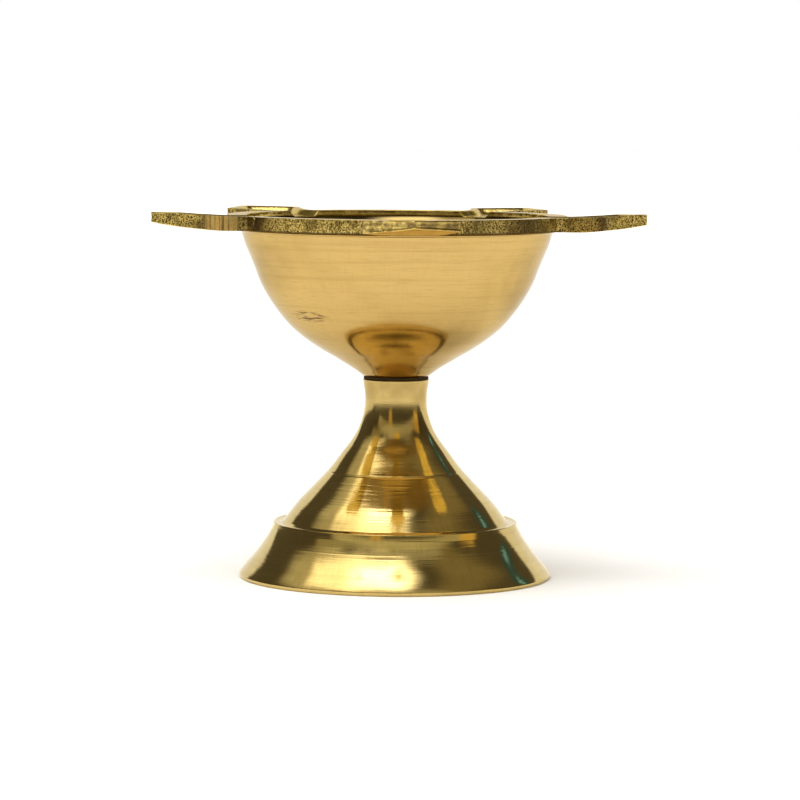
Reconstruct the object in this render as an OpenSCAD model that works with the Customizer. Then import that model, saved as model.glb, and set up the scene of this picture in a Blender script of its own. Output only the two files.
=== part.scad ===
// Footed brass oil lamp: a shallow bowl with a five-lipped cast plate on top,
// screwed to a turned trumpet foot by a stud through the narrow neck.
// The origin is on the lamp's axis where it meets the table, +Z up, and one lip points along -Y.

/* [Lip plate] */
// Number of wick lips
lip_count = 5; // [3:1:6]
// Distance from the axis to a lip's tip
tip_r = 54; // [52:0.5:58]
// Distance from the axis to the widest place of a lip
lip_wide_at = 46; // [44:0.5:48]
// Width of a lip at its widest
lip_w = 19.8; // [14:0.2:22]
// Width of a lip where it leaves the round plate
lip_root_w = 11; // [9:0.2:12]
// Radius of the round plate between the lips
plate_r = 35.7; // [34.8:0.1:37]
// Thickness of the plate
plate_t = 3; // [2.6:0.1:4]
// Height that a lip's tip stands above the plate
tip_lift = 0.9; // [0.4:0.1:1.4]
// Thickness of a lip at its tip
tip_t = 2.1; // [1.6:0.1:2.4]
// Width of the raised border around a wick channel
border_w = 2.2; // [1.6:0.1:3]
// Depth of a wick channel below the plate's top
channel_depth = 1.2; // [0.8:0.1:1.3]

/* [Bowl] */
// Outer radius of the bowl under the plate
bowl_r = 32.8; // [32.4:0.1:33.6]
// Height of the bowl from its seat on the washer to the plate
bowl_h = 30.8; // [28:0.2:36]
// Thickness of the bowl's wall
bowl_wall = 1.8; // [1.4:0.1:2.4]
// Thickness of the solid boss that holds the stud
boss_h = 10.5; // [10:0.1:11.5]
// How far the bead under the plate stands proud
bead_proud = 0.3; // [0.1:0.1:0.5]

/* [Foot] */
// Height of the foot from the table to its neck's top
foot_h = 41.7; // [40:0.1:44]
// Outer radius of the foot on the table
foot_r = 32.8; // [30:0.2:36]
// Radius of the ledge above the skirt
ledge_r = 25.6; // [24.6:0.1:26]
// Height of the ledge
ledge_z = 11.6; // [11:0.1:13]
// Radius of the neck's top
neck_r = 7; // [6.8:0.1:7.6]
// Radius of the neck's waist
waist_r = 6.5; // [6:0.05:6.8]

/* [Fastening] */
// Outer radius of the threaded stud
stud_r = 3; // [2.5:0.1:3.2]
// Radial running clearance between the stud's thread and the bowl
thread_gap = 0.05; // [0.03:0.01:0.1]
// Depth to which the stud reaches into the bowl
stud_in_bowl = 7.6; // [6:0.1:8]
// Thickness of the dark washer in the neck's seam
neck_washer_t = 0.7; // [0.5:0.1:1]
// Width of the nut across its flats
nut_flats = 10; // [9:0.5:11]
// Height of the nut
nut_h = 5; // [3:0.5:5]
// Thickness of the washer under the nut
nut_washer_t = 1.6; // [1:0.1:2]

/* [Hidden] */
$fn = 96;
eps = 0.01;

// Heights that follow from the driving sizes
bowl_z = foot_h + neck_washer_t;
plate_z = bowl_z + bowl_h;
plate_top = plate_z + plate_t;
ceiling_z = 26.2;
nut_z = ceiling_z - nut_washer_t - nut_h;
stud_tail = 1.7;
stud_z = nut_z - stud_tail;
stud_top = bowl_z + stud_in_bowl;

// Fits inside the foot
fixed_gap = 0.02;
loose_gap = 0.08;

// The bowl's rim stands in a rebate in the plate
rim_in_r = bowl_r - 1.4;
rim_out_r = bowl_r - 0.6;
rim_h = plate_t - channel_depth - 0.2;
bead_h = 0.5;

// A smooth curve through the points p, with n steps between each two
function blend(a, b, c, d, t) =
    0.5 * ((2 * b) + (c - a) * t + (2 * a - 5 * b + 4 * c - d) * t * t
    + (3 * b - a - 3 * c + d) * t * t * t);
function at(p, i) = p[max(0, min(len(p) - 1, i))];
function smooth(p, n) = concat(
    [for (i = [0:len(p) - 2]) for (s = [0:n - 1])
        blend(at(p, i - 1), p[i], p[i + 1], at(p, i + 2), s / n)],
    [p[len(p) - 1]]);

// Points given as shares of a radius and a height, moved up to z
function scaled(p, r, h, z) = [for (q = p) [q[0] * r, z + q[1] * h]];

// Outside of the bowl, from its seat to the plate
bowl_outside = scaled([
    [0.21, 0], [0.236, 0.02], [0.28, 0.053], [0.401, 0.131], [0.487, 0.184], [0.587, 0.256],
    [0.683, 0.344], [0.766, 0.45], [0.832, 0.555], [0.874, 0.64], [0.908, 0.735], [0.94, 0.818],
    [0.972, 0.9], [1, 1]],
    bowl_r, bowl_h, bowl_z);

// Inside of the bowl, from the floor's middle to the rim
bowl_floor_z = bowl_z + boss_h;
bowl_inside = [
    [0, bowl_floor_z], [11, bowl_floor_z + 0.4], [18, bowl_floor_z + 2.2],
    [0.744 * bowl_r - bowl_wall * 0.75, bowl_z + 0.47 * bowl_h],
    [0.862 * bowl_r - bowl_wall, bowl_z + 0.65 * bowl_h],
    [0.925 * bowl_r - bowl_wall, bowl_z + 0.8 * bowl_h],
    [rim_in_r, plate_z - 0.8]];

// Outside of the foot above the ledge: the neck, the waist and the trumpet
trumpet_outside = [
    [neck_r, foot_h], [waist_r + 0.1, foot_h - 2.6], [waist_r, foot_h - 4.2],
    [waist_r + 0.1, foot_h - 5.8], [waist_r + 0.35, 34.1], [8.25, 30.5], [10.9, 26.7],
    [13.8, 22.9], [17.25, 19.2], [20.75, 15.6], [23.4, ledge_z + 0.3]];

// Outside of the skirt below the ledge
skirt_outside = [
    [ledge_r, ledge_z], [ledge_r + 0.6, ledge_z - 1.5], [27.5, 7.9], [29.4, 5.3],
    [foot_r - 1.3, 2.6], [foot_r - 0.2, 1.1], [foot_r, 0.6], [foot_r - 0.35, 0]];

// Inside of the hollow foot, from the table to the ceiling under the neck
foot_inside = [
    [foot_r - 2.2, 0], [foot_r - 2.4, 1], [28, 3.6], [25.2, 6.8], [22.6, 9.6], [20.6, 12.6],
    [18.2, 15.6], [14.8, 19.2], [11.4, 22.8], [8.8, ceiling_z]];

// Half of a lip's outline, as distance from the axis and half width
lip_half = concat(
    smooth([
        [plate_r - 2, lip_root_w / 2], [plate_r + 1.8, lip_root_w / 2 + 0.2],
        [lip_wide_at - 4.4, lip_w / 2 - 2.4], [lip_wide_at - 0.7, lip_w / 2 - 0.35]], 5),
    [[lip_wide_at, lip_w / 2], [lip_wide_at + 0.8, lip_w / 2 - 0.6],
     [tip_r - 0.5, 0.8], [tip_r, 0.3]]);
function mirrored(p) = [for (i = [len(p) - 1:-1:0]) [p[i][0], -p[i][1]]];

// Half of a wick channel's outline, kept a border's width inside the lip
channel_half = [
    [rim_in_r - 2, lip_root_w / 2 - border_w], [plate_r + 3, lip_root_w / 2 - border_w + 0.4],
    [lip_wide_at - 3, lip_w / 2 - border_w - 1.4], [lip_wide_at, lip_w / 2 - border_w - 0.6],
    [lip_wide_at + 0.6, lip_w / 2 - border_w - 0.9], [tip_r - border_w - 0.9, 0.5]];

// Copies around the axis, the first one along -Y
module on_each_lip() {
    for (i = [0:lip_count - 1]) rotate(-90 + i * 360 / lip_count) children();
}

module ring(r_out, r_in, h) {
    difference() {
        cylinder(r = r_out, h = h);
        translate([0, 0, -eps]) cylinder(r = r_in, h = h + 2 * eps);
    }
}

// A cylindrical hole up the axis from z0 to z1
module axial_hole(r, z0, z1) {
    translate([0, 0, z0]) cylinder(r = r, h = z1 - z0);
}

// Hollow turned foot: neck, trumpet, ledge and flared skirt
module foot() {
    color("goldenrod") difference() {
        rotate_extrude() polygon(concat(
            [[0, ceiling_z], [0, foot_h]],
            smooth(trumpet_outside, 4),
            [[ledge_r - 1.5, ledge_z - 0.1], [ledge_r - 0.3, ledge_z + 0.1]],
            smooth(skirt_outside, 4),
            smooth(foot_inside, 3)));
        axial_hole(stud_r + fixed_gap, ceiling_z - 1, foot_h + 1);
    }
}

// Threaded stud through the neck, with a chamfer at each end
module stud() {
    chamfer = 0.6;
    color("darkkhaki") rotate_extrude() polygon([
        [0, stud_z], [stud_r - chamfer, stud_z], [stud_r, stud_z + chamfer],
        [stud_r, stud_top - chamfer], [stud_r - chamfer, stud_top], [0, stud_top]]);
}

// Plain washer between the nut and the foot's ceiling
module nut_washer() {
    color("khaki") translate([0, 0, ceiling_z - nut_washer_t])
        ring(6, stud_r + 0.2, nut_washer_t);
}

// Hexagon nut that holds the stud from below
module stud_nut() {
    color("gold") translate([0, 0, nut_z]) difference() {
        cylinder(r = nut_flats / 2 / cos(30), h = nut_h, $fn = 6);
        axial_hole(stud_r + fixed_gap, -eps, nut_h + eps);
    }
}

// Thin dark washer between the neck and the bowl
module neck_washer() {
    color("dimgray") translate([0, 0, foot_h])
        ring(neck_r - 0.15, stud_r + loose_gap, neck_washer_t);
}

// Turned bowl with a tapped boss below and a rim that stands in the plate
module bowl() {
    color("peru") difference() {
        rotate_extrude() polygon(concat(
            [[0, bowl_z]],
            smooth(bowl_outside, 4),
            [[bowl_r + bead_proud, plate_z - bead_h], [bowl_r + bead_proud, plate_z],
             [rim_out_r, plate_z], [rim_out_r, plate_z + rim_h], [rim_in_r, plate_z + rim_h]],
            [for (i = [0:len(smooth(bowl_inside, 3)) - 1])
                smooth(bowl_inside, 3)[len(smooth(bowl_inside, 3)) - 1 - i]]));
        axial_hole(stud_r + thread_gap, bowl_z - 1, stud_top + 0.6);
    }
}

// Section of the plate and its lips: flat to the lips' widest place, then rising to the tips
module plate_section() {
    under = smooth([
        [lip_wide_at, plate_z], [(lip_wide_at + tip_r) / 2, plate_z + 0.5],
        [tip_r + 0.1, plate_top + tip_lift - tip_t]], 5);
    polygon(concat(
        [[rim_out_r, plate_z]],
        under,
        [[tip_r + 0.1, plate_top + tip_lift], [plate_r + 3, plate_top], [rim_in_r, plate_top],
         [rim_in_r, plate_z + rim_h], [rim_out_r, plate_z + rim_h]]));
}

// Section of what the wick channels take away
module channel_section() {
    floor_z = plate_top - channel_depth;
    polygon([
        [rim_in_r - 1, floor_z], [lip_wide_at, floor_z + 0.2], [tip_r - border_w - 1.5, floor_z + 0.8],
        [tip_r - border_w, plate_top + tip_lift + 1], [rim_in_r - 1, plate_top + tip_lift + 1]]);
}

// Plan of the plate as a tall block: the round plate and its lips
module plate_block() {
    block_h = plate_t + tip_lift + 2;
    translate([0, 0, plate_z - 1]) {
        cylinder(r = plate_r, h = block_h);
        on_each_lip() linear_extrude(block_h) polygon(concat(lip_half, mirrored(lip_half)));
    }
}

// Plan of the wick channels as tall blocks
module channel_block() {
    translate([0, 0, plate_z]) on_each_lip() linear_extrude(plate_t + tip_lift + 2)
        polygon(concat(channel_half, mirrored(channel_half)));
}

// Cast plate with its lips, open in the middle over the bowl
module lip_plate() {
    color("darkgoldenrod") difference() {
        intersection() {
            rotate_extrude() plate_section();
            plate_block();
        }
        intersection() {
            rotate_extrude() channel_section();
            channel_block();
        }
    }
}

foot();
stud();
nut_washer();
stud_nut();
neck_washer();
bowl();
lip_plate();
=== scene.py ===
import math

import bmesh
import bpy
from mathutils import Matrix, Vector, noise


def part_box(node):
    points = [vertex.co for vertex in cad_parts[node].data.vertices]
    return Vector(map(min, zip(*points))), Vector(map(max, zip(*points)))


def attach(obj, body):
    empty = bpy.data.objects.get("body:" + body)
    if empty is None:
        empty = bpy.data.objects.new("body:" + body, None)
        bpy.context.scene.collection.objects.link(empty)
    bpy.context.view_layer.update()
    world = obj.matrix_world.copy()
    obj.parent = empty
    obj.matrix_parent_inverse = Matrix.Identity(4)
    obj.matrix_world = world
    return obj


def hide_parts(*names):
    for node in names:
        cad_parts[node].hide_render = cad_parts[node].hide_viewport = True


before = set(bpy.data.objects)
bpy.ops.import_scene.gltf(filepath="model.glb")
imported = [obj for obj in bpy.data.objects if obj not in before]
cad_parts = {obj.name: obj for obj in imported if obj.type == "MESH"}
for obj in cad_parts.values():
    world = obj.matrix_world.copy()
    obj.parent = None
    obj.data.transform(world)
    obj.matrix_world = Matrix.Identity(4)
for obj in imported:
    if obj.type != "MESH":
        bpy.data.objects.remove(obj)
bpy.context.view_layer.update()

# ---------------------------------------------------------------- sizes, in metres, taken from the frame
MM = 0.001
FOOT_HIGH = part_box("foot")[1]
BOWL_LOW, BOWL_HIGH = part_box("bowl")
PLATE_LOW, PLATE_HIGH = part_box("lip_plate")
STUD_LOW, STUD_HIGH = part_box("stud")
NUT_LOW, NUT_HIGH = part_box("stud_nut")
NUT_WASHER_LOW, NUT_WASHER_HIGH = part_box("nut_washer")
NECK_WASHER_LOW, NECK_WASHER_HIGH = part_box("neck_washer")

FOOT_R = FOOT_HIGH.x
FOOT_H = FOOT_HIGH.z
CEILING_Z = NUT_WASHER_HIGH.z
BOWL_Z = BOWL_LOW.z
PLATE_Z = PLATE_LOW.z
STUD_R = STUD_HIGH.x
TIP_R = -PLATE_LOW.y
TIP_LIFT = 0.9 * MM
PLATE_TOP = PLATE_HIGH.z - TIP_LIFT
BEAD_PROUD = 0.3 * MM
BOWL_R = BOWL_HIGH.x - BEAD_PROUD
BOWL_H = PLATE_Z - BOWL_Z
RIM_IN_R = BOWL_R - 1.4 * MM
RIM_OUT_R = BOWL_R - 0.6 * MM
RIM_Z = BOWL_HIGH.z
LEDGE_R = 25.6 * MM
LEDGE_Z = 11.6 * MM
NECK_R = 7 * MM
WAIST_R = 6.5 * MM
BOWL_FLOOR_Z = BOWL_Z + 10.5 * MM
BOWL_WALL = 1.8 * MM
PLATE_R = 35.7 * MM


# ---------------------------------------------------------------- curves
def smooth_curve(points, steps):
    """A Catmull-Rom curve through the points, with that many steps between each two."""
    made = []
    for i in range(len(points) - 1):
        a = Vector(points[max(i - 1, 0)])
        b = Vector(points[i])
        c = Vector(points[i + 1])
        d = Vector(points[min(i + 2, len(points) - 1)])
        for s in range(steps):
            t = s / steps
            made.append(0.5 * (2 * b + (c - a) * t + (2 * a - 5 * b + 4 * c - d) * t * t
                               + (3 * b - a - 3 * c + d) * t ** 3))
    made.append(Vector(points[-1]))
    return made


def resampled(points, step):
    """The same open line with corners kept, cut into pieces no longer than step."""
    made = [Vector(points[0])]
    for a, b in zip(points, points[1:]):
        count = max(1, math.ceil((Vector(b) - Vector(a)).length / step))
        for i in range(1, count + 1):
            made.append(Vector(a).lerp(Vector(b), i / count))
    return made


def smoothstep(x):
    x = min(max(x, 0.0), 1.0)
    return x * x * (3 - 2 * x)


# ---------------------------------------------------------------- meshes
def finished(name, mesh_data, body, nodes, material):
    """An object that rides on a body and stands for CAD nodes."""
    piece = bpy.data.objects.new(name, mesh_data)
    bpy.context.scene.collection.objects.link(piece)
    for face in mesh_data.polygons:
        face.use_smooth = True
    mesh_data.materials.append(material)
    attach(piece, body)
    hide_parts(*nodes)
    return piece


def mesh_from(name, verts, faces):
    mesh_data = bpy.data.meshes.new(name)
    mesh_data.from_pydata([tuple(v) for v in verts], [], faces)
    mesh_data.validate()
    mesh_data.update()
    return mesh_data


def ring_points(radius, z, segments):
    """One ring of points about the z axis."""
    made = []
    for k in range(segments):
        angle = 2 * math.pi * k / segments
        made.append((radius * math.cos(angle), radius * math.sin(angle), z))
    return made


def ring_faces(i, j, segments):
    """The faces between ring i and ring j of a turned mesh."""
    made = []
    for k in range(segments):
        m = (k + 1) % segments
        made.append((i * segments + k, i * segments + m, j * segments + m, j * segments + k))
    return made


def lathe_mesh(name, outline, segments, wobble=None):
    """Turns a closed outline of (radius, height) about the z axis. wobble(angle, z) moves the radius."""
    verts = []
    faces = []
    for r, z in outline:
        for k in range(segments):
            angle = 2 * math.pi * k / segments
            radius = r if wobble is None else r + wobble(angle, z)
            verts.append((radius * math.cos(angle), radius * math.sin(angle), z))
    rings = len(outline)
    for i in range(rings):
        faces += ring_faces(i, (i + 1) % rings, segments)
    mesh_data = mesh_from(name, verts, faces)
    bm = bmesh.new()
    bm.from_mesh(mesh_data)
    bmesh.ops.remove_doubles(bm, verts=bm.verts, dist=1e-7)
    bmesh.ops.recalc_face_normals(bm, faces=bm.faces)
    bm.to_mesh(mesh_data)
    bm.free()
    return mesh_data


# ---------------------------------------------------------------- materials
class Nodes:
    """A short way to build a node tree."""

    def __init__(self, tree):
        self.tree = tree
        self.tree.nodes.clear()

    def add(self, kind, **settings):
        node = self.tree.nodes.new(kind)
        for key, value in settings.items():
            setattr(node, key, value)
        return node

    def link(self, output, socket):
        self.tree.links.new(output, socket)

    def feed(self, socket, value):
        if isinstance(value, bpy.types.NodeSocket):
            self.link(value, socket)
        elif value is not None:
            socket.default_value = value

    def math(self, operation, a, b=None):
        node = self.add("ShaderNodeMath", operation=operation)
        for socket, value in zip(node.inputs, (a, b)):
            self.feed(socket, value)
        return node.outputs[0]

    def vector(self, operation, a, b=None, scale=None):
        node = self.add("ShaderNodeVectorMath", operation=operation)
        self.feed(node.inputs[0], a)
        self.feed(node.inputs[1], b)
        if scale is not None:
            self.feed(node.inputs["Scale"], scale)
        return node.outputs["Value"] if operation in ("LENGTH", "DOT_PRODUCT") else node.outputs[0]

    def ramp(self, value, low, high, to_low=0.0, to_high=1.0, smooth=True):
        node = self.add("ShaderNodeMapRange", interpolation_type="SMOOTHSTEP" if smooth else "LINEAR")
        for socket, v in zip(node.inputs, (value, low, high, to_low, to_high)):
            self.feed(socket, v)
        return node.outputs[0]

    def mix(self, share, a, b):
        node = self.add("ShaderNodeMix", data_type="RGBA")
        self.feed(node.inputs["Factor"], share)
        self.feed(node.inputs[6], a)
        self.feed(node.inputs[7], b)
        return node.outputs[2]

    def noise(self, place, scale, detail=3.0, rough=0.55, distortion=0.0):
        """Noise at a place, which is a vector, or a vector and a fourth coordinate."""
        node = self.add("ShaderNodeTexNoise")
        if isinstance(place, tuple):
            node.noise_dimensions = "4D"
            self.feed(node.inputs["Vector"], place[0])
            self.feed(node.inputs["W"], place[1])
        else:
            self.feed(node.inputs["Vector"], place)
        node.inputs["Scale"].default_value = scale
        node.inputs["Detail"].default_value = detail
        node.inputs["Roughness"].default_value = rough
        node.inputs["Distortion"].default_value = distortion
        return node.outputs[0]

    def bump(self, height, strength, distance, normal=None):
        node = self.add("ShaderNodeBump")
        node.inputs["Strength"].default_value = strength
        node.inputs["Distance"].default_value = distance
        self.feed(node.inputs["Height"], height)
        self.feed(node.inputs["Normal"], normal)
        return node.outputs[0]

    def split(self, vector):
        """The x, y and z of a vector."""
        node = self.add("ShaderNodeSeparateXYZ")
        self.link(vector, node.inputs[0])
        return node.outputs[0], node.outputs[1], node.outputs[2]

    def join(self, x, y, z):
        node = self.add("ShaderNodeCombineXYZ")
        for socket, value in zip(node.inputs, (x, y, z)):
            self.feed(socket, value)
        return node.outputs[0]

    def place(self):
        """Where a point is on the object, in metres."""
        return self.add("ShaderNodeTexCoord").outputs["Object"]

    def radius(self):
        x, y, _ = self.split(self.place())
        return self.vector("LENGTH", self.join(x, y, 0.0))


def new_material(name):
    material = bpy.data.materials.new(name)
    material.use_nodes = True
    nodes = Nodes(material.node_tree)
    shader = nodes.add("ShaderNodeBsdfPrincipled")
    output = nodes.add("ShaderNodeOutputMaterial")
    nodes.link(shader.outputs[0], output.inputs[0])
    return material, nodes, shader


def lathe_place(nodes, around, along=1.0):
    """A place for 4-D noise on turned work: around scales it round the axis, and along up the wall."""
    x, y, z = nodes.split(nodes.place())
    flat = nodes.join(x, y, 0.0)
    radius = nodes.math("MULTIPLY", nodes.vector("LENGTH", flat), along)
    turn = nodes.vector("SCALE", nodes.vector("NORMALIZE", flat), scale=around)
    turn_x, turn_y, _ = nodes.split(turn)
    return nodes.join(turn_x, radius, nodes.math("MULTIPLY", z, along)), turn_y


def near(nodes, centre, reach):
    """1 at a point of the object, falling to 0 at reach = (across, depth, up) from it."""
    offset = nodes.vector("SUBTRACT", nodes.place(), centre)
    away = nodes.vector("LENGTH", nodes.vector("DIVIDE", offset, reach))
    return nodes.ramp(away, 0.4, 1.0, 1.0, 0.0)


# Colours on the turned brass, linear: a dent's dirt, a brown for patches of painted shade, and painted
# shade inside a hollow
DENT_DIRT = (0.12, 0.06, 0.03, 1)
PAINTED_SHADE = (0.30, 0.19, 0.06, 1)
HOLLOW_SHADE = (0.15, 0.11, 0.04, 1)


def turned_brass(name, look):
    """Lathe-turned brass: tool rings, finer polishing lines, hairline scratches and a little tarnish, with
    patches of painted shade and painted shade inside hollows.

    look["marks"] holds the dents, and the list after it the patches of painted shade: a centre, a reach
    along x, y and z, and a strength each.
    """
    material, nodes, shader = new_material(name)
    rings = nodes.noise(lathe_place(nodes, 0.0006), 1100, 2.0, 0.6)
    lines = nodes.noise(lathe_place(nodes, 0.0016), 4200, 2.0, 0.7)
    chatter = nodes.noise(lathe_place(nodes, 0.02, 0.12), 2600, 2.0, 0.6)
    grain = nodes.noise(nodes.place(), 3200, 3.0, 0.7)
    cloud = nodes.noise(nodes.place(), 80, 3.0)
    scratch = nodes.ramp(nodes.noise(lathe_place(nodes, 0.004), 2400, 1.0, 0.5, 0.4), 0.72, 0.76)
    colour = nodes.mix(nodes.ramp(cloud, 0.42, 0.7, 0.0, look["tarnish"]), look["bright"], look["deep"])
    colour = nodes.mix(nodes.ramp(lines, 0.5, 0.8, 0.0, look["line_dark"]), colour, look["deep"])
    colour = nodes.mix(nodes.ramp(rings, 0.45, 0.75, 0.0, look["ring_dark"]), colour, look["deep"])
    colour = nodes.mix(nodes.ramp(chatter, 0.45, 0.75, 0.0, look["chatter"]), colour, look["deep"])
    nicks = nodes.noise(lathe_place(nodes, 0.0028), 3400, 1.0, 0.5)
    for centre, reach, share in look["marks"]:
        nicked = nodes.ramp(nicks, 0.50, 0.60, 0.0, share)
        mark = nodes.math("MULTIPLY", near(nodes, centre, reach), nicked)
        colour = nodes.mix(mark, colour, DENT_DIRT)
    # Patches of painted shade: a patchy brown darkening where a part above shades this one
    for centre, reach, share in look["shade_patches"]:
        patchy = nodes.ramp(cloud, 0.3, 0.6, 0.3 * share, share)
        stain = nodes.math("MULTIPLY", near(nodes, centre, reach), patchy)
        colour = nodes.mix(stain, colour, PAINTED_SHADE)
    # Painted shade inside the hollow: faces that point towards the axis are darkened by the look's inward
    # share
    normal = nodes.add("ShaderNodeNewGeometry").outputs["Normal"]
    outward = nodes.vector("DOT_PRODUCT", normal, nodes.vector("MULTIPLY", nodes.place(), (1, 1, 0)))
    inside = nodes.math("MULTIPLY", nodes.math("LESS_THAN", outward, 0), look["hollow_shade"])
    colour = nodes.mix(inside, colour, HOLLOW_SHADE)
    nodes.link(colour, shader.inputs["Base Color"])
    shader.inputs["Metallic"].default_value = 1.0
    spread = nodes.math("ADD", nodes.math("MULTIPLY", rings, 0.5), nodes.math("MULTIPLY", grain, 0.5))
    low, high = look["rough"]
    nodes.link(nodes.ramp(spread, 0.3, 0.7, low, high, smooth=False), shader.inputs["Roughness"])
    normal = nodes.bump(rings, 1.0, look["ring_depth"])
    normal = nodes.bump(lines, 1.0, look["line_depth"], normal)
    normal = nodes.bump(chatter, 1.0, look["chatter_depth"], normal)
    normal = nodes.bump(scratch, -0.5, look["line_depth"] * 2, normal)
    nodes.link(normal, shader.inputs["Normal"])
    shader.inputs["Specular Tint"].default_value = look["edge"]
    shader.inputs["Anisotropic"].default_value = look["anisotropy"]
    shader.inputs["Anisotropic Rotation"].default_value = 0.25
    tangent = nodes.add("ShaderNodeTangent", direction_type="RADIAL", axis="Z")
    nodes.link(tangent.outputs[0], shader.inputs["Tangent"])
    return material


# The looks of the two turned parts: "edge" is the tint at a glancing view, the inward share is how far a
# face that points inwards is darkened as painted shade, the patches after the marks are painted shade, and
# the depths are the bumps of the tool rings, polishing lines and chatter
FOOT_LOOK = {
    "bright": (0.68, 0.51, 0.19, 1), "deep": (0.44, 0.30, 0.085, 1), "edge": (1.0, 0.97, 0.86, 1),
    "hollow_shade": 0.0, "tarnish": 0.35, "rough": (0.08, 0.13), "anisotropy": 0.85,
    "ring_depth": 0.015 * MM, "line_depth": 0.009 * MM, "chatter_depth": 0.001 * MM,
    "line_dark": 0.4, "ring_dark": 0.25, "chatter": 0.25,
    "marks": [((-9 * MM, -29.5 * MM, 4.4 * MM), (1.0 * MM, 3 * MM, 3.2 * MM), 0.6)],
    # Painted shade on the neck all round and on the trumpet's front, under the bowl
    "shade_patches": [((0, 0, 39.5 * MM), (14 * MM, 14 * MM, 5 * MM), 0.8),
               ((0, -8 * MM, 31.5 * MM), (9 * MM, 9 * MM, 5 * MM), 0.9)]}
BOWL_LOOK = {
    "bright": (0.60, 0.405, 0.14, 1), "deep": (0.45, 0.295, 0.085, 1), "edge": (0.76, 0.74, 0.68, 1),
    "hollow_shade": 0.85, "tarnish": 0.4, "rough": (0.10, 0.15), "anisotropy": 0.6,
    "ring_depth": 0.010 * MM, "line_depth": 0.003 * MM, "chatter_depth": 0.002 * MM,
    "line_dark": 0.75, "ring_dark": 0.6, "chatter": 0.2,
    "marks": [((-19 * MM, -15.8 * MM, 55.7 * MM), (6.5 * MM, 6.5 * MM, 1.6 * MM), 0.9)],
    # Painted shade on the bowl's left and right front under the plate, and low on its front where the foot
    # is mirrored
    "shade_patches": [((-27 * MM, -15 * MM, 65 * MM), (7 * MM, 15 * MM, 8 * MM), 0.3),
               ((27 * MM, -14 * MM, 62 * MM), (10 * MM, 16 * MM, 11 * MM), 0.45),
               ((10 * MM, -17 * MM, 51.5 * MM), (10 * MM, 10 * MM, 4 * MM), 0.3)]}


# Colours of the casting, linear: metal, bare metal under the file, and what darkens them, the last two
# being tarnish with painted shade, and painted shade under the plate
CAST_PALE = (0.86, 0.64, 0.20, 1)
CAST_DEEP = (0.62, 0.45, 0.105, 1)
FILED_METAL = (1.0, 0.76, 0.29, 1)
FILE_STREAK = (0.24, 0.14, 0.045, 1)
HALF_FILED = (0.26, 0.17, 0.06, 1)
GRAIN_DARK = (0.05, 0.03, 0.01, 1)
BLOTCH_DARK = (0.14, 0.095, 0.03, 1)
TARNISH_AND_SHADE_DARK = (0.05, 0.028, 0.012, 1)
UNDERSIDE_SHADE = (0.06, 0.032, 0.014, 1)


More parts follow.
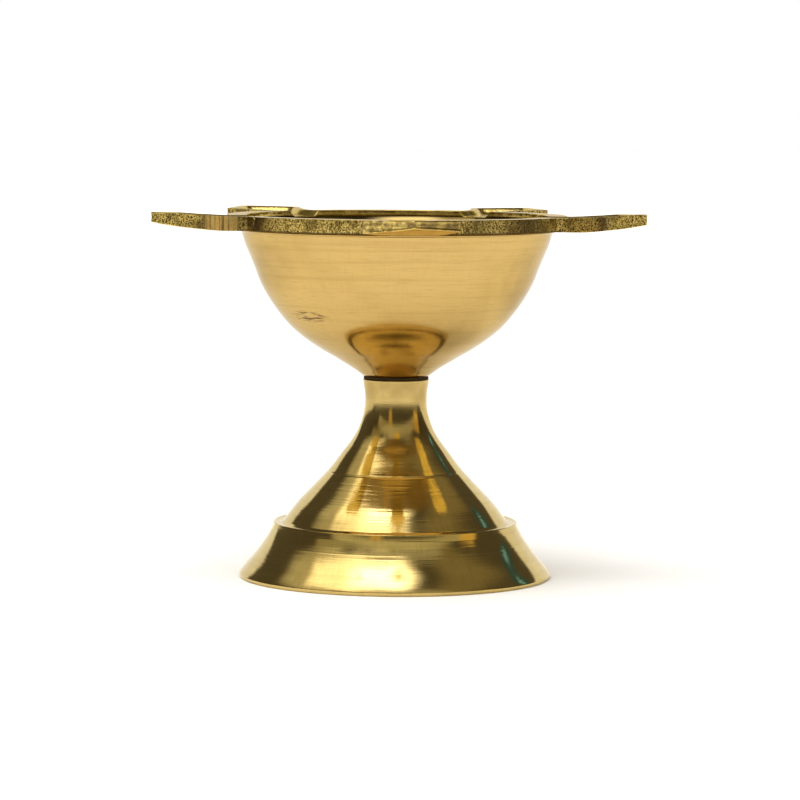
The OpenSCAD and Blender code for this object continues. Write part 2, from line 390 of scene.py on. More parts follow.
def cast_brass():
    """As-cast brass: grainy edges with tarnish and painted shade, painted shade under the plate, a
    smoother top, file marks, and a turned mouth.
    """
    material, nodes, shader = new_material("cast_brass")
    place = nodes.place()
    geometry = nodes.add("ShaderNodeNewGeometry")
    level = nodes.math("ABSOLUTE", nodes.split(geometry.outputs["Normal"])[2])
    outer = nodes.ramp(nodes.radius(), RIM_OUT_R, RIM_OUT_R + 1 * MM)
    side = nodes.math("MULTIPLY", nodes.ramp(level, 0.35, 0.8, 1.0, 0.0), outer)
    filed = nodes.add("ShaderNodeAttribute", attribute_name="filed").outputs["Fac"]
    # The tarnish layer holds tarnish and painted shade from the plate's dark patches
    tarnish = nodes.add("ShaderNodeAttribute", attribute_name="tarnish").outputs["Fac"]
    raw = nodes.math("MULTIPLY", side, nodes.ramp(filed, 0.0, 0.6, 1.0, 0.2))
    grains = nodes.noise(place, 3000, 4.0, 0.75)
    pits = nodes.noise(place, 1500, 3.0, 0.7)
    blotch = nodes.noise(place, 300, 3.0, 0.6)
    files = nodes.noise(nodes.vector("MULTIPLY", place, (1.0, 1.0, 0.06)), 1100, 3.0, 0.65)
    dressed = nodes.math("MULTIPLY", nodes.ramp(filed, 0.6, 0.95), side)
    colour = nodes.mix(nodes.ramp(blotch, 0.35, 0.7), CAST_PALE, CAST_DEEP)
    colour = nodes.mix(dressed, colour, FILED_METAL)
    streaks = nodes.math("MULTIPLY", nodes.ramp(files, 0.49, 0.6, 0.0, 0.75), dressed)
    colour = nodes.mix(streaks, colour, FILE_STREAK)
    patchy = nodes.ramp(nodes.noise(place, 620, 2.0, 0.5), 0.38, 0.62, 0.0, 0.85)
    soft = nodes.math("MULTIPLY", nodes.ramp(filed, 0.2, 0.5), nodes.math("SUBTRACT", side, dressed))
    colour = nodes.mix(nodes.math("MULTIPLY", soft, patchy), colour, HALF_FILED)
    speckle = nodes.math("MULTIPLY", nodes.ramp(grains, 0.46, 0.54, 0.0, 0.95), raw)
    colour = nodes.mix(speckle, colour, GRAIN_DARK)
    stain = nodes.math("MULTIPLY", nodes.ramp(blotch, 0.5, 0.68, 0.0, 0.55), raw)
    colour = nodes.mix(stain, colour, BLOTCH_DARK)
    # Tarnish and painted shade on the edges, from the tarnish layer
    colour = nodes.mix(nodes.math("MULTIPLY", tarnish, side), colour, TARNISH_AND_SHADE_DARK)
    shader.inputs["Metallic"].default_value = 1.0
    height = nodes.split(place)[2]
    # Painted shade on the round plate's underside and the lowest strip of its outer wall, not under the
    # lips
    low = nodes.ramp(height, PLATE_Z + 0.1 * MM, PLATE_Z + 0.5 * MM, 0.85, 0.0)
    round_part = nodes.ramp(nodes.radius(), PLATE_R + 0.5 * MM, PLATE_R + 1.5 * MM, 1.0, 0.0)
    underside_shade = nodes.math("MULTIPLY", nodes.math("MULTIPLY", outer, low), round_part)
    colour = nodes.mix(underside_shade, colour, UNDERSIDE_SHADE)
    nodes.link(colour, shader.inputs["Base Color"])
    rough = nodes.ramp(nodes.math("MULTIPLY", pits, raw), 0.1, 0.7, 0.24, 0.55)
    rough = nodes.math("ADD", rough, nodes.math("MULTIPLY", dressed, 0.4))
    nodes.link(rough, shader.inputs["Roughness"])
    normal = nodes.bump(nodes.math("MULTIPLY", pits, raw), 0.8, 0.2 * MM)
    normal = nodes.bump(nodes.math("MULTIPLY", grains, raw), 0.8, 0.1 * MM, normal)
    normal = nodes.bump(nodes.math("MULTIPLY", files, dressed), 0.5, 0.05 * MM, normal)
    ripple = nodes.math("MULTIPLY", nodes.noise(place, 900, 4.0, 0.65), outer)
    normal = nodes.bump(ripple, 0.35, 0.03 * MM, normal)
    nodes.link(normal, shader.inputs["Normal"])
    shader.inputs["Specular Tint"].default_value = (0.85, 0.76, 0.52, 1)
    return material


ZINC_PALE = (0.62, 0.60, 0.54, 1)
ZINC_DULL = (0.38, 0.36, 0.31, 1)
# Near-black colours of the neck washer, painted shade of the gap between the bowl and the foot
WASHER_SHADE_DARK = (0.03, 0.017, 0.005, 1)
WASHER_SHADE_LIGHT = (0.08, 0.045, 0.012, 1)


def zinc_steel():
    """Zinc plating: pale grey with darker, duller spots."""
    material, nodes, shader = new_material("zinc_steel")
    spots = nodes.noise(nodes.place(), 900, 4.0)
    colour = nodes.mix(nodes.ramp(spots, 0.35, 0.7), ZINC_PALE, ZINC_DULL)
    nodes.link(colour, shader.inputs["Base Color"])
    shader.inputs["Metallic"].default_value = 1.0
    nodes.link(nodes.ramp(spots, 0.3, 0.7, 0.25, 0.45), shader.inputs["Roughness"])
    nodes.link(nodes.bump(spots, 0.3, 0.02 * MM), shader.inputs["Normal"])
    return material


def dark_fibre():
    """The neck washer's near-black colour: painted shade of the gap between the bowl and the foot, matt,
    with a warm cast.
    """
    material, nodes, shader = new_material("dark_fibre")
    washer_mottle = nodes.noise(nodes.place(), 2200, 4.0, 0.7)
    colour = nodes.mix(nodes.ramp(washer_mottle, 0.4, 0.75), WASHER_SHADE_DARK, WASHER_SHADE_LIGHT)
    shader.inputs["Specular IOR Level"].default_value = 0.15
    nodes.link(colour, shader.inputs["Base Color"])
    nodes.link(nodes.ramp(washer_mottle, 0.3, 0.7, 0.6, 0.9), shader.inputs["Roughness"])
    nodes.link(nodes.bump(washer_mottle, 0.5, 0.05 * MM), shader.inputs["Normal"])
    return material


# ---------------------------------------------------------------- the foot
# Heights of the scribed line, and of the lathe's heavier rings on the skirt and on the cone
SCRIBED_Z = 22.3 * MM
SKIRT_RINGS = (10.3 * MM, 8.9 * MM, 7.7 * MM, 6.9 * MM)
CONE_RINGS = (20.6 * MM, 19.6 * MM, 18.9 * MM, 17.9 * MM, 17.3 * MM, 16.9 * MM, 16.1 * MM, 15.6 * MM,
              15.1 * MM, 14.6 * MM, 14.1 * MM)


def dip(z, at, depth, width):
    """A rounded groove at one height."""
    return -depth * math.exp(-((z - at) / width) ** 2)


def foot_marks(angle, z):
    """The scribed line and the lathe's heavier rings on the foot's outside."""
    if z < 0.5 * MM or z > FOOT_H - 3 * MM:
        return 0.0
    moved = dip(z, SCRIBED_Z, 0.08 * MM, 0.14 * MM)
    for rings, depth in ((SKIRT_RINGS, 0.018 * MM), (CONE_RINGS, 0.014 * MM)):
        for at in rings:
            if abs(z - at) < 0.4 * MM:
                place = Vector((3 * math.cos(angle), 3 * math.sin(angle), at / MM))
                share = smoothstep(0.6 + 1.2 * noise.noise(place))
                moved += dip(z, at, depth * share, 0.11 * MM)
    return moved


def make_foot(material):
    trumpet = smooth_curve([
        (NECK_R, FOOT_H), (WAIST_R + 0.1 * MM, FOOT_H - 2.6 * MM), (WAIST_R, FOOT_H - 4.2 * MM),
        (WAIST_R + 0.1 * MM, FOOT_H - 5.8 * MM), (WAIST_R + 0.4 * MM, 34.2 * MM), (7.43 * MM, 32.4 * MM),
        (8.25 * MM, 30.5 * MM), (9.45 * MM, 28.6 * MM), (10.9 * MM, 26.7 * MM), (13.8 * MM, 22.9 * MM),
        (17.25 * MM, 19.2 * MM), (20.65 * MM, 15.6 * MM), (23.45 * MM, LEDGE_Z + 0.3 * MM)], steps=12)
    ledge = [(LEDGE_R - 1.5 * MM, LEDGE_Z - 0.1 * MM), (LEDGE_R - 0.6 * MM, LEDGE_Z - 0.05 * MM),
             (LEDGE_R - 0.25 * MM, LEDGE_Z + 0.1 * MM), (LEDGE_R - 0.08 * MM, LEDGE_Z + 0.08 * MM)]
    skirt = smooth_curve([
        (LEDGE_R, LEDGE_Z), (LEDGE_R + 0.55 * MM, LEDGE_Z - 1.5 * MM), (27.35 * MM, 7.9 * MM),
        (29.2 * MM, 5.3 * MM), (FOOT_R - 1.35 * MM, 2.6 * MM), (FOOT_R - 0.2 * MM, 1.1 * MM),
        (FOOT_R, 0.6 * MM), (FOOT_R - 0.35 * MM, 0.0)], steps=10)
    inside = smooth_curve([
        (FOOT_R - 2.2 * MM, 0.0), (FOOT_R - 2.4 * MM, 1 * MM), (28 * MM, 3.6 * MM),
        (25.2 * MM, 6.8 * MM), (22.6 * MM, 9.6 * MM), (20.6 * MM, 12.6 * MM), (18.2 * MM, 15.6 * MM),
        (14.8 * MM, 19.2 * MM), (11.4 * MM, 22.8 * MM), (8.8 * MM, CEILING_Z)], steps=5)
    bore = STUD_R + 0.02 * MM
    outside = resampled([(bore, FOOT_H)] + trumpet + ledge + skirt, 0.16 * MM)
    outline = outside + inside + [Vector((bore, CEILING_Z))]
    mesh_data = lathe_mesh("foot_turned", outline, segments=192, wobble=foot_marks)
    return finished("foot_turned", mesh_data, "foot", ["foot"], material)


# ---------------------------------------------------------------- the bowl
# The bowl's outside, as shares of its radius and of its height
BOWL_SHARES = [(0.21, 0), (0.236, 0.02), (0.28, 0.053), (0.401, 0.131), (0.487, 0.184), (0.587, 0.256),
               (0.683, 0.344), (0.766, 0.45), (0.832, 0.555), (0.874, 0.64), (0.908, 0.735),
               (0.94, 0.818), (0.972, 0.9), (1, 1)]


def make_bowl(material):
    outside = smooth_curve([(r * BOWL_R, BOWL_Z + h * BOWL_H) for r, h in BOWL_SHARES], steps=14)
    bead_low = PLATE_Z - 0.5 * MM
    outside = [p for p in outside if p.y < bead_low - 0.05 * MM]
    bead = [(BOWL_R - 0.02 * MM, bead_low), (BOWL_R + 0.22 * MM, bead_low + 0.03 * MM),
            (BOWL_R + BEAD_PROUD, bead_low + 0.2 * MM), (BOWL_R + 0.2 * MM, bead_low + 0.4 * MM),
            (BOWL_R, PLATE_Z - 0.06 * MM), (RIM_OUT_R, PLATE_Z), (RIM_OUT_R, RIM_Z), (RIM_IN_R, RIM_Z)]
    inside = smooth_curve([
        (RIM_IN_R, PLATE_Z - 0.8 * MM),
        (0.925 * BOWL_R - BOWL_WALL, BOWL_Z + 0.8 * BOWL_H),
        (0.862 * BOWL_R - BOWL_WALL, BOWL_Z + 0.65 * BOWL_H),
        (0.744 * BOWL_R - BOWL_WALL * 0.75, BOWL_Z + 0.47 * BOWL_H),
        (18 * MM, BOWL_FLOOR_Z + 2.2 * MM), (11 * MM, BOWL_FLOOR_Z + 0.4 * MM),
        (0.0, BOWL_FLOOR_Z)], steps=12)
    bore = STUD_R + 0.05 * MM
    bore_top = STUD_HIGH.z + 0.6 * MM
    outline = (resampled([(bore, BOWL_Z)] + outside + bead, 0.2 * MM)
               + resampled(inside, 0.4 * MM) + [Vector((0.0, bore_top)), Vector((bore, bore_top))])
    mesh_data = lathe_mesh("bowl_turned", outline, segments=192)
    return finished("bowl_turned", mesh_data, "bowl", ["bowl"], material)


# ---------------------------------------------------------------- the lip plate
# The lips: how many, where they are widest and half their width there and at the root, then the border
# that stands round a lip's wick channel and the channel's depth
LIP_COUNT = 5
LIP_WIDE_AT = 46 * MM
LIP_HALF_W = 9.9 * MM
LIP_ROOT_HALF = 5.5 * MM
BORDER_W = 2.0 * MM
CHANNEL_DEPTH = 1.2 * MM
# Share of the full lift, rise of the underside and how much more of it is on the right, for each lip
# from the front one anticlockwise: they are bent by hand
LIP_BENDS = ((0.6, 1.9 * MM, 0.25), (0.95, 1.75 * MM, 0.0), (0.35, 1.2 * MM, 0.0), (0.6, 1.4 * MM, 0.0),
             (1.0, 1.8 * MM, 0.0))
# How late along each lip its underside curls up: the higher, the later
CURL_POWERS = (1.4, 2.0, 2.0, 2.0, 2.0)
# How much shorter each lip is than the CAD's: the right one is worn and the front one just clears the box
LIP_WEAR = (0.03 * MM, 0.8 * MM, 0.0, 0.0, 0.0)
# How finely the plate's grids are cut
LIP_COLUMNS = 30
LIP_ROWS = 40
ARC_COLUMNS = 100
RING_ROWS = 10
WALL_ROWS = 10


def lip_flank():
    """One side of a lip, from the round plate to the widest place, as (distance from axis, half width)."""
    start = math.sqrt(PLATE_R ** 2 - LIP_ROOT_HALF ** 2)
    line = smooth_curve([
        (start, LIP_ROOT_HALF), (PLATE_R + 1.8 * MM, LIP_ROOT_HALF + 0.2 * MM),
        (LIP_WIDE_AT - 4.4 * MM, LIP_HALF_W - 2.4 * MM),
        (LIP_WIDE_AT - 0.7 * MM, LIP_HALF_W - 0.35 * MM), (LIP_WIDE_AT, LIP_HALF_W)],
        steps=12)
    lengths = [0.0]
    for a, b in zip(line, line[1:]):
        lengths.append(lengths[-1] + (b - a).length)
    made = []
    for i in range(LIP_ROWS + 1):
        want = lengths[-1] * i / LIP_ROWS
        k = max(j for j in range(len(lengths) - 1) if lengths[j] <= want + 1e-12)
        share = (want - lengths[k]) / (lengths[k + 1] - lengths[k])
        made.append(line[k].lerp(line[k + 1], share))
    return made


FLANK = lip_flank()
BORDER_LINE = [Vector((28 * MM, LIP_ROOT_HALF))] + FLANK[::2] + [Vector((TIP_R, 0.0))]


def gap_to_border(a, w):
    """Distance from a place on a lip to the lip's outline."""
    here = Vector((a, abs(w)))
    least = 1.0
    for p, q in zip(BORDER_LINE, BORDER_LINE[1:]):
        along = q - p
        t = min(max((here - p).dot(along) / along.length_squared, 0.0), 1.0)
        least = min(least, (here - p - along * t).length)
    return least


def lip_place(row, column, lip):
    """Plan of a lip's grid: rows run from the round plate to the pointed end."""
    s = row / LIP_ROWS
    v = 2 * column / LIP_COLUMNS - 1
    side = FLANK[row]
    w = v * side.y
    middle = PLATE_R + (TIP_R - LIP_WEAR[lip] - PLATE_R) * s
    straight = middle + (side.x - middle) * abs(v) ** (2 - s)
    arc = math.sqrt(PLATE_R ** 2 - w * w)
    return (arc if row == 0 else straight), w


def surface_heights(a, w, lip):
    """Top and underside at a place on the plate, given in the nearest lip's own axes."""
    lift, rise, twist = LIP_BENDS[lip]
    r = math.hypot(a, w)
    out = smoothstep((r - (PLATE_R + 1 * MM)) / (TIP_R - PLATE_R - 1 * MM)) * 0.35
    out += 0.65 * max(0.0, r - PLATE_R - 1 * MM) / (TIP_R - PLATE_R - 1 * MM)
    top = PLATE_TOP + TIP_LIFT * lift * min(out, 1.0)
    curl = max(0.0, r - PLATE_R - 2 * MM) / (TIP_R - PLATE_R - 2 * MM)
    under = PLATE_Z + rise * (1 + twist * w / LIP_HALF_W) * min(curl, 1.0) ** CURL_POWERS[lip]
    depth = 0.0
    if a > 0 and abs(w) < LIP_HALF_W:
        inside_lip = abs(w) < LIP_ROOT_HALF or r > PLATE_R
        if inside_lip:
            depth = CHANNEL_DEPTH * smoothstep((gap_to_border(a, w) - BORDER_W + 0.5 * MM) / (1.5 * MM))
    return top - depth, under


def turned_by(a, w, angle):
    return a * math.cos(angle) - w * math.sin(angle), a * math.sin(angle) + w * math.cos(angle)


def ring_columns():
    """The nearest lip and the angle from it, all round the plate: finer where the lips join."""
    half = math.asin(LIP_ROOT_HALF / PLATE_R)
    pitch = 2 * math.pi / LIP_COUNT
    made = []
    for lip in range(LIP_COUNT):
        for c in range(LIP_COLUMNS):
            v = 2 * c / LIP_COLUMNS - 1
            made.append((lip, math.asin(v * LIP_ROOT_HALF / PLATE_R)))
        for c in range(ARC_COLUMNS):
            made.append((lip, half + (pitch - 2 * half) * c / ARC_COLUMNS))
    return made


class PlateBuilder:
    """Collects the lip plate's vertices, one level at a time."""

    def __init__(self):
        self.bm = bmesh.new()
        self.bm.verts.layers.float.new("filed")
        # The tarnish layer holds tarnish and painted shade
        self.bm.verts.layers.float.new("tarnish")
        self.columns = ring_columns()

    def vertex(self, lip, a, w, z):
        x, y = turned_by(a, w, -math.pi / 2 + lip * 2 * math.pi / LIP_COUNT)
        return self.bm.verts.new((x, y, z))

    def sheet(self, upper):
        """The top or the underside: the ring's rows and each lip's grid, sharing the root's vertices."""
        inner = RIM_IN_R if upper else RIM_OUT_R
        pick = 0 if upper else 1
        pitch = 2 * math.pi / LIP_COUNT
        rows = []
        for i in range(RING_ROWS + 1):
            r = inner + (PLATE_R - inner) * i / RING_ROWS
            row = []
            for lip, angle in self.columns:
                nearest = angle if angle < pitch / 2 else angle - pitch
                z = surface_heights(r * math.cos(nearest), r * math.sin(nearest), lip)[pick]
                row.append(self.vertex(lip, r * math.cos(angle), r * math.sin(angle), z))
            rows.append(row)
        count = len(self.columns)
        for i in range(RING_ROWS):
            for k in range(count):
                m = (k + 1) % count
                self.face((rows[i][k], rows[i + 1][k], rows[i + 1][m], rows[i][m]), upper)
        border = []
        per_lip = LIP_COLUMNS + ARC_COLUMNS
        for lip in range(LIP_COUNT):
            first = lip * per_lip
            grid = [[rows[-1][first + c] for c in range(LIP_COLUMNS + 1)]]
            for row in range(1, LIP_ROWS + 1):
                line = []
                for c in range(LIP_COLUMNS + 1):
                    a, w = lip_place(row, c, lip)
                    z = surface_heights(a, w, lip)[pick]
                    line.append(self.vertex(lip, a, w, z))
                grid.append(line)
            for i in range(LIP_ROWS):
                for c in range(LIP_COLUMNS):
                    self.face((grid[i][c], grid[i + 1][c], grid[i + 1][c + 1], grid[i][c + 1]), upper)
            border += [grid[i][0] for i in range(LIP_ROWS)]
            border += grid[-1]
            border += [grid[i][-1] for i in range(LIP_ROWS - 1, 0, -1)]
            border += rows[-1][first + LIP_COLUMNS:first + per_lip]
        return rows[0], border

    def face(self, corners, upper):
        self.bm.faces.new(corners if upper else corners[::-1])

    def wall(self, top, bottom, steps, outward):
        """A wall between two loops of the same length, in steps."""
        count = len(top)
        last = top
        for i in range(1, steps + 1):
            if i == steps:
                level = bottom
            else:
                level = [self.bm.verts.new(a.co.lerp(b.co, i / steps)) for a, b in zip(top, bottom)]
            for k in range(count):
                m = (k + 1) % count
                corners = (last[k], level[k], level[m], last[m])
                self.bm.faces.new(corners if outward else corners[::-1])
            last = level


# Dark patches on the plate's edge, tarnish with painted shade in the inner corners at the lips' roots and
# along the
# front right arc: x, y and reach in millimetres, then how dark
TARNISH_AND_SHADE_SPOTS = ((-30, -19.3, 3.8, 0.95), (-40.8, -23.4, 1.2, 0.5), (40.8, -23.4, 1.6, 0.8),
                 (8, -49, 6, 0.45), (14, -33, 2.8, 0.5), (25, -25.5, 8, 0.85), (37, -14, 3, 0.15),
                 (24, 27, 5, 0.6), (-9, 35, 4, 0.5), (-33, 14, 4, 0.6), (35, 9, 4, 0.4))
# How far the front left lip's flank and the front lip's end are dressed with a file
FILED_FLANK = 1.0
FILED_FRONT = 0.55


def mark_surfaces(bm):
    """Where the edge is dressed with a file, and where it is darkened with tarnish and painted shade."""
    filed = bm.verts.layers.float["filed"]
    tarnish = bm.verts.layers.float["tarnish"]
    for vertex in bm.verts:
        # Tarnish and painted shade from the dark patches
        dark = 0.0
        for spot_x, spot_y, reach, amount in TARNISH_AND_SHADE_SPOTS:
            away = math.hypot(vertex.co.x / MM - spot_x, vertex.co.y / MM - spot_y)
            dark += amount * math.exp(-(away / reach) ** 2)
        vertex[tarnish] = min(dark, 1.0)
        x, y = vertex.co.x, vertex.co.y
        front_end = y < -LIP_WIDE_AT + 0.3 * MM and abs(x) < LIP_HALF_W + 1 * MM
        angle = -math.pi / 2 - 2 * math.pi / LIP_COUNT
        a, w = turned_by(x, y, -angle)
        near_flank = PLATE_R + 1.5 * MM < a < LIP_WIDE_AT - 0.2 * MM and w > 0
        if near_flank:
            vertex[filed] = FILED_FLANK
        elif front_end:
            vertex[filed] = FILED_FRONT


# Depth of the casting's waves and grains, in millimetres, on the plate's edge and on its flat faces
EDGE_WAVE = 0.10
EDGE_GRAIN = 0.10
FACE_WAVE = 0.03
FACE_GRAIN = 0.015


def roughen(bm):
    """Pits and waves of the casting: only inwards, so that the plate keeps its outer size."""
    bm.normal_update()
    for vertex in bm.verts:
        normal = vertex.normal
        side = 1.0 - smoothstep((abs(normal.z) - 0.3) / 0.5)
        place = vertex.co / MM
        wave = 0.5 + 0.5 * noise.noise(place * 0.22)
        grain = 0.5 + 0.5 * noise.fractal(place * 1.4, 0.9, 2.0, 3)
        grain = min(max(grain, 0.0), 1.0)
        on_edge = EDGE_WAVE * wave + EDGE_GRAIN * grain
        on_face = FACE_WAVE * wave + FACE_GRAIN * grain
        sunk = side * on_edge + (1 - side) * on_face
        vertex.co -= normal * sunk * MM


def moved_to(place, radius, z):
    """The same way from the axis, at another radius and height."""
    angle = math.atan2(place.y, place.x)
    return radius * math.cos(angle), radius * math.sin(angle), z


def make_plate(material):
    """The top, the underside and the walls between them, with the long edges rounded."""
    build = PlateBuilder()
    top_inner, top_border = build.sheet(upper=True)
    low_inner, low_border = build.sheet(upper=False)
    build.wall(top_border, low_border, steps=WALL_ROWS, outward=True)
    shelf_in = [build.bm.verts.new(moved_to(v.co, RIM_IN_R, RIM_Z)) for v in top_inner]
    shelf_out = [build.bm.verts.new(moved_to(v.co, RIM_OUT_R, RIM_Z)) for v in top_inner]
    build.wall(top_inner, shelf_in, steps=3, outward=False)
    build.wall(shelf_in, shelf_out, steps=1, outward=False)
    build.wall(shelf_out, low_inner, steps=2, outward=False)
    bm = build.bm
    bmesh.ops.recalc_face_normals(bm, faces=bm.faces)
    sharp = set()
    for loop in (top_border, low_border, top_inner):
        for a, b in zip(loop, loop[1:] + loop[:1]):
            edge = bm.edges.get((a, b))
            if edge is not None:
                sharp.add(edge)
    bmesh.ops.bevel(bm, geom=list(sharp), offset=0.22 * MM, segments=3, profile=0.5, affect="EDGES")
    bmesh.ops.recalc_face_normals(bm, faces=bm.faces)
    mark_surfaces(bm)
    roughen(bm)
    mesh_data = bpy.data.meshes.new("lip_plate_cast")
    bm.to_mesh(mesh_data)
    bm.free()
    return finished("lip_plate_cast", mesh_data, "bowl", ["lip_plate"], material)


# ---------------------------------------------------------------- the fastening
# The stud's thread
THREAD_PITCH = 1.0 * MM
THREAD_DEPTH = 0.55 * MM


def make_stud(material):
    """The stud with a real right-hand thread."""
    segments = 48
    steps = int((STUD_HIGH.z - STUD_LOW.z) / THREAD_PITCH * 12)
    verts = []
    faces = []
    for i in range(steps + 1):
        z = STUD_LOW.z + (STUD_HIGH.z - STUD_LOW.z) * i / steps
        end = min(z - STUD_LOW.z, STUD_HIGH.z - z)
        for k in range(segments):
            angle = 2 * math.pi * k / segments
            phase = (z / THREAD_PITCH - angle / (2 * math.pi)) % 1.0
            # 0 at the thread's root, 1 on its crest, and a slope between them
            flank = min(1.0, max(0.0, abs(phase - 0.5) * 2.6 - 0.15))
            radius = STUD_R - 0.01 * MM - THREAD_DEPTH * (1 - flank)
            radius = min(radius, STUD_R - 0.6 * MM + end)
            verts.append((radius * math.cos(angle), radius * math.sin(angle), z))
    for i in range(steps):
        faces += ring_faces(i, i + 1, segments)
    faces.append(tuple(reversed(range(segments))))
    faces.append(tuple(steps * segments + k for k in range(segments)))
    mesh_data = mesh_from("stud_threaded", verts, faces)
    return finished("stud_threaded", mesh_data, "foot", ["stud"], material)


def make_nut(material):
    """A hexagon nut with chamfered corners and a chamfered bore."""
    flats = (NUT_HIGH.y - NUT_LOW.y) / 2
    height = NUT_HIGH.z - NUT_LOW.z
    segments = 96
    levels = [0.0, 0.08, 0.16, 0.25, 0.5, 0.75, 0.84, 0.92, 1.0]
    verts = []
    faces = []
    bore = STUD_R + 0.02 * MM
    chamfer = 0.35 * MM
    for share in levels:
        from_end = min(share, 1 - share) * height
        limit = flats * 0.97 + from_end / math.tan(math.radians(30))
        for k in range(segments):
            angle = 2 * math.pi * k / segments
            turn = (angle % (math.pi / 3)) - math.pi / 6
            radius = min(flats / math.cos(turn), limit)
            verts.append((radius * math.cos(angle), radius * math.sin(angle), NUT_LOW.z + share * height))
    for z, radius in ((NUT_HIGH.z, bore + chamfer), (NUT_HIGH.z - chamfer, bore),
                      (NUT_LOW.z + chamfer, bore), (NUT_LOW.z, bore + chamfer)):
        verts += ring_points(radius, z, segments)
    rings = len(verts) // segments
    for i in range(rings):
        faces += ring_faces(i, (i + 1) % rings, segments)
    mesh_data = mesh_from("hex_nut", verts, faces)
    return finished("hex_nut", mesh_data, "foot", ["stud_nut"], material)


def make_washer(name, low, high, inner, body, node, material, bulge):
    """A flat ring with rounded edges; bulge is how far its rim is squeezed in from the full radius."""
    outer = high.x
    edge = min(0.2 * MM, (high.z - low.z) * 0.3)
    outline = [(inner, low.z), (outer - edge - bulge, low.z),
               (outer - edge * 0.3 - bulge, low.z + edge * 0.3), (outer, (low.z + high.z) / 2),
               (outer - edge * 0.3 - bulge, high.z - edge * 0.3), (outer - edge - bulge, high.z),
               (inner, high.z)]
    mesh_data = lathe_mesh(name, outline, segments=128)
    return finished(name, mesh_data, body, [node], material)


# ---------------------------------------------------------------- the studio
# The camera's distance from the lamp's axis and height, the point it looks at, its turn to the left
# round the lamp and its roll, in degrees, and its lens in millimetres
CAMERA_AWAY = 0.760
CAMERA_HEIGHT = 0.1005
AIM_HEIGHT = 0.03725
AIM_RIGHT = 0.86
CAMERA_TURN = 3.6
CAMERA_ROLL = 0.39
CAMERA_LENS = 163.2


def make_camera():
    turn = math.radians(CAMERA_TURN)
    right = Vector((math.cos(turn), -math.sin(turn), 0))
    place = Vector((-math.sin(turn) * CAMERA_AWAY, -math.cos(turn) * CAMERA_AWAY, CAMERA_HEIGHT))
    aim = Vector((0, 0, AIM_HEIGHT)) + right * AIM_RIGHT * MM
    camera = bpy.data.objects.new("camera", bpy.data.cameras.new("camera"))
    camera.data.lens = CAMERA_LENS
    camera.data.sensor_width = 36
    camera.data.clip_start = 0.01
    camera.data.clip_end = 20
    camera.location = place
    look = (aim - place).to_track_quat("-Z", "Y").to_matrix()
    camera.rotation_euler = look.to_euler()
    camera.rotation_euler.rotate_axis("Z", math.radians(CAMERA_ROLL))
    bpy.context.scene.collection.objects.link(camera)
    bpy.context.scene.camera = camera


# Half the floor's side, and how far below the foot it lies
FLOOR_HALF = 6
FLOOR_GAP = 0.02 * MM


def make_floor():
    """A pale matt floor, just below the foot so that their faces don't meet."""
    corners = [(-FLOOR_HALF, -FLOOR_HALF, 0), (FLOOR_HALF, -FLOOR_HALF, 0),
               (FLOOR_HALF, FLOOR_HALF, 0), (-FLOOR_HALF, FLOOR_HALF, 0)]
    mesh_data = mesh_from("floor", corners, [(0, 1, 2, 3)])
    floor = bpy.data.objects.new("floor", mesh_data)
    floor.location.z = -FLOOR_GAP
    bpy.context.scene.collection.objects.link(floor)
    material, _, shader = new_material("pale_floor")
    shader.inputs["Base Color"].default_value = (0.93, 0.93, 0.93, 1)
    shader.inputs["Roughness"].default_value = 0.9
    shader.inputs["Specular IOR Level"].default_value = 0.0
    mesh_data.materials.append(material)


# Panels of the studio as seen from the lamp: azimuth (0 behind it, 90 to its right), elevation,
# half width, half height and softness in degrees, then the light that they send
PANELS = (
    (-85, 48, 20, 9, 5, (0.62, 0.59, 0.46, 1)),
    (-94, 63, 16, 8, 6, (1.3, 1.24, 1.0, 1)),
    (-128, 38, 30, 6, 4, (0.42, 0.39, 0.26, 1)),
    (-122, 62, 26, 8, 3, (2.1, 2.0, 1.8, 1)),
    (95, 56, 28, 10, 6, (0.26, 0.22, 0.13, 1)),
    (180, 43, 58, 10, 4, (0.60, 0.57, 0.40, 1)),
    (180, 59, 30, 6, 4, (0.44, 0.42, 0.33, 1)),
    (-152, 76, 14, 9, 7, (5.2, 5.2, 5.4, 1)),
    (-157, 22, 5, 12, 3, (0.65, 0.45, 0.15, 1)),
    (108, 22, 8, 12, 3, (0.85, 0.60, 0.18, 1)),
    (59, 29, 4.5, 7, 2, (0.04, 0.11, 0.15, 1)),
    (60, 29, 0.9, 3, 0.8, (0.42, 0.92, 1.5, 1)),
)
# The light of the room, of its pale front and of the backdrop
ROOM = (0.10, 0.088, 0.064, 1)
FRONT = (0.75, 0.70, 0.62, 1)
BACKDROP = (1, 1, 1, 1)
# The backdrop's top and left edges, as their height and offset over its distance behind the lamp, and
# how far they fade to each side
BACKDROP_RISE = 0.52
BACKDROP_LEFT = -0.63
BACKDROP_FADE = 0.05
# Elevations in degrees between which the backdrop's left edge sets in
LEFT_EDGE_FROM = 2
LEFT_EDGE_FULL = 8
# Elevation of the pale front's top, and how far it fades to each side, in degrees
FRONT_TOP = 3
FRONT_FADE = 7


def sine(degrees):
    return math.sin(math.radians(degrees))


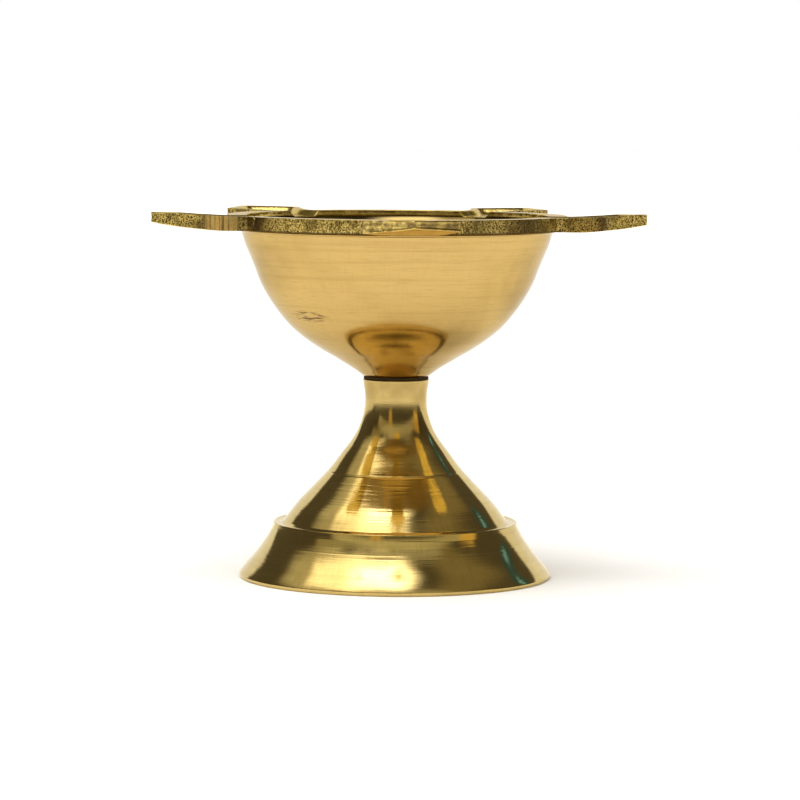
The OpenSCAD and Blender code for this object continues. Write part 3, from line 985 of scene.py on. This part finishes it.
def panel_share(nodes, way, azimuth, elevation, half_width, half_height, edge):
    """1 inside a rectangular panel and 0 outside it, for the light that comes from one way."""
    level = math.cos(math.radians(elevation))
    middle = Vector((sine(azimuth) * level, math.cos(math.radians(azimuth)) * level, sine(elevation)))
    across = Vector((math.cos(math.radians(azimuth)), -sine(azimuth), 0))
    ahead = nodes.vector("DOT_PRODUCT", way, tuple(middle))
    share = nodes.math("GREATER_THAN", ahead, 0.05)
    for axis, half in ((across, half_width), (middle.cross(across), half_height)):
        sideways = nodes.vector("DOT_PRODUCT", way, tuple(axis))
        offset = nodes.math("ABSOLUTE", nodes.math("DIVIDE", sideways, ahead))
        low, high = (math.tan(math.radians(half + side * edge)) for side in (-1, 1))
        share = nodes.math("MULTIPLY", share, nodes.ramp(offset, low, high, 1.0, 0.0))
    return share


def make_world():
    """A dim room with a white backdrop low behind the lamp, a pale front and softboxes overhead."""
    world = bpy.data.worlds.new("studio")
    bpy.context.scene.world = world
    world.use_nodes = True
    nodes = Nodes(world.node_tree)
    way = nodes.add("ShaderNodeTexCoord").outputs["Generated"]
    right, depth, up = nodes.split(way)
    above = nodes.ramp(up, sine(FRONT_TOP - FRONT_FADE), sine(FRONT_TOP + FRONT_FADE))
    room = nodes.mix(above, FRONT, ROOM)
    away = nodes.math("MAXIMUM", depth, 0.01)
    over = nodes.ramp(nodes.math("DIVIDE", up, away),
                      BACKDROP_RISE - BACKDROP_FADE, BACKDROP_RISE + BACKDROP_FADE)
    beside = nodes.ramp(nodes.math("DIVIDE", right, away),
                        BACKDROP_LEFT + BACKDROP_FADE, BACKDROP_LEFT - BACKDROP_FADE)
    beside = nodes.math("MULTIPLY", beside, nodes.ramp(up, sine(LEFT_EDGE_FROM), sine(LEFT_EDGE_FULL)))
    backdrop = nodes.mix(nodes.math("MAXIMUM", over, beside), BACKDROP, ROOM)
    room = nodes.mix(nodes.ramp(depth, -0.3, 0.1), room, backdrop)
    for *place, colour in PANELS:
        room = nodes.mix(panel_share(nodes, way, *place), room, colour)
    ray = nodes.add("ShaderNodeLightPath")
    seen = nodes.mix(ray.outputs["Is Camera Ray"], room, (1.0, 1.0, 1.0, 1))
    background = nodes.add("ShaderNodeBackground")
    nodes.link(seen, background.inputs[0])
    output = nodes.add("ShaderNodeOutputWorld")
    nodes.link(background.outputs[0], output.inputs[0])


# The way the key light shines
KEY_WAY = (0.15, 0.2, -1)


def make_key():
    """A broad soft light from high up, a little left and in front, which the metal doesn't mirror."""
    data = bpy.data.lights.new("key", "SUN")
    data.energy = 2.5
    data.angle = math.radians(110)
    lamp = bpy.data.objects.new("key", data)
    lamp.rotation_euler = Vector(KEY_WAY).to_track_quat("-Z", "Y").to_euler()
    lamp.visible_glossy = False
    bpy.context.scene.collection.objects.link(lamp)


# ---------------------------------------------------------------- everything together
make_camera()
make_floor()
make_world()
make_key()
bpy.context.scene.view_settings.view_transform = "Standard"

foot_brass = turned_brass("bright_brass", FOOT_LOOK)
satin_brass = turned_brass("satin_brass", BOWL_LOOK)
plate_brass = cast_brass()
steel = zinc_steel()
washer_shade = dark_fibre()

make_foot(foot_brass)
make_bowl(satin_brass)
make_plate(plate_brass)
make_stud(steel)
make_nut(steel)
make_washer("nut_washer_ring", NUT_WASHER_LOW, NUT_WASHER_HIGH, STUD_R + 0.2 * MM, "foot",
            "nut_washer", steel, 0.0)
# The neck washer in near black: painted shade of the gap between the bowl and the foot
make_washer("neck_washer_ring", NECK_WASHER_LOW, NECK_WASHER_HIGH, STUD_R + 0.08 * MM, "neck_washer",
            "neck_washer", washer_shade, 0.05 * MM)
